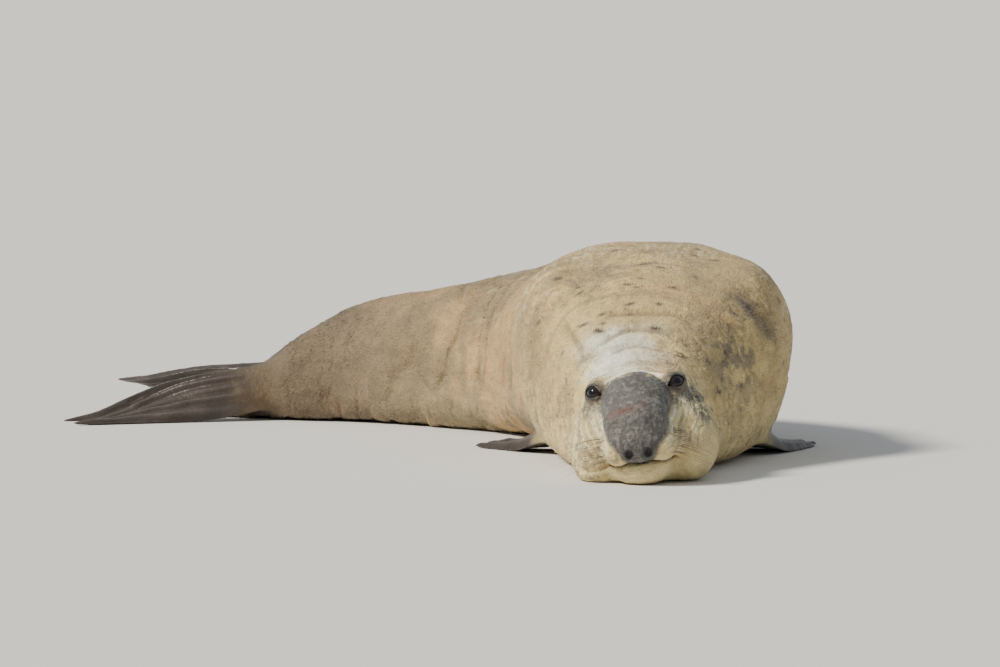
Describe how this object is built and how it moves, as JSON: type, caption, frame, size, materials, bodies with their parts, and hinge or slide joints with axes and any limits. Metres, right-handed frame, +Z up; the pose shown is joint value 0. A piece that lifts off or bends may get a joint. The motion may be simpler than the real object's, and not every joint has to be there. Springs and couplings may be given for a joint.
{
  "type": "elephant seal",
  "caption": "Southern elephant seal, a subadult male lying flat on its belly with its head low, its short trunk-like nose swollen and its body curled round to its right.",
  "frame": {"origin": "on the floor under the chest, on the middle line of the belly's flat rest", "axes": "+Z up; the head faces -Y, a little turned towards -X; the body runs back along +Y and curls round towards -X; the seal's left is +X at the shoulders"},
  "size_m": [2.478, 3.2925, 0.669],
  "materials": {
    "coat": "dull, skin under short flat fur",
    "nose_skin": "dull, wrinkled and scarred",
    "flipper_skin": "satin, smooth and a little wet",
    "wet_eye": "wet, glossy",
    "horn": "satin"
  },
  "bodies": {
    "root": {"head": "coat", "proboscis": "nose_skin", "lower_jaw": "coat", "eye_left": "wet_eye", "eye_right": "wet_eye", "neck": "coat", "torso_front": "coat", "torso_middle": "coat", "torso_rear": "coat", "tail": "coat", "fore_flipper_left": "flipper_skin", "fore_flipper_right": "flipper_skin", "hind_flipper_left": "flipper_skin", "hind_flipper_right": "flipper_skin", "fore_claw_left_1": "horn", "fore_claw_left_2": "horn", "fore_claw_left_3": "horn", "fore_claw_left_4": "horn", "fore_claw_left_5": "horn", "fore_claw_right_1": "horn", "fore_claw_right_2": "horn", "fore_claw_right_3": "horn", "fore_claw_right_4": "horn", "fore_claw_right_5": "horn"}
  },
  "joints": []
}
